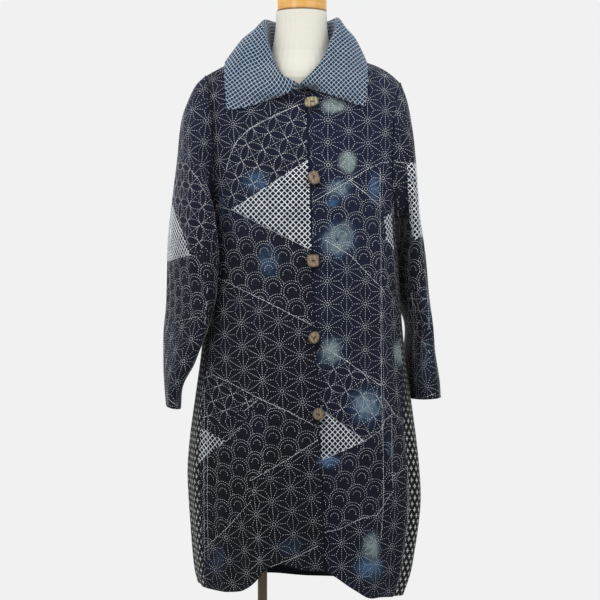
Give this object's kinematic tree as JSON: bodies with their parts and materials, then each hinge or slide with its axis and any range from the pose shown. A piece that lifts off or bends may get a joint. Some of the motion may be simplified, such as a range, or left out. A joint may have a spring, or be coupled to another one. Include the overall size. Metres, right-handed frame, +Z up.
{
  "type": "sashiko coat on dress form",
  "caption": "knee-length indigo sashiko coat with pale blue turned-down collar and dotted side panels, buttoned up on a limbless dress form with pole and round base",
  "frame": {"origin": "on the floor, at the middle of the base's underside side to side of the coat and front to back", "axes": "+Z up, -Y the coat's front, +X the wearer's left"},
  "size_m": [0.5287, 0.36, 1.5663],
  "materials": {
    "indigo_sashiko_cotton": "matt dark indigo plain weave stitched in off-white thread",
    "black_dotted_cotton": "matt black plain weave with small pale crosses",
    "pale_blue_dotted_cotton": "matt pale blue plain weave with navy dots",
    "whittled_wood": "waxed taupe wood, knife-cut",
    "dark_cotton_cord": "matt twisted cord",
    "cream_form_cover": "tight cream jersey cover",
    "turned_orange_wood": "clear satin varnish",
    "brushed_steel": "brushed, slightly warm"
  },
  "bodies": {
    "root": {"front_right": "indigo_sashiko_cotton", "front_left": "indigo_sashiko_cotton", "back": "indigo_sashiko_cotton", "sleeve_right": "indigo_sashiko_cotton", "sleeve_left": "indigo_sashiko_cotton", "side_panel_right": "black_dotted_cotton", "side_panel_left": "black_dotted_cotton", "collar": "pale_blue_dotted_cotton", "button_1": "whittled_wood", "button_2": "whittled_wood", "button_3": "whittled_wood", "button_4": "whittled_wood", "button_5": "whittled_wood", "button_loop_1": "dark_cotton_cord", "button_loop_2": "dark_cotton_cord", "button_loop_3": "dark_cotton_cord", "button_loop_4": "dark_cotton_cord", "button_loop_5": "dark_cotton_cord", "form_body": "cream_form_cover", "neck_cap": "turned_orange_wood", "pole": "brushed_steel", "base": "brushed_steel"}
  },
  "joints": []
}
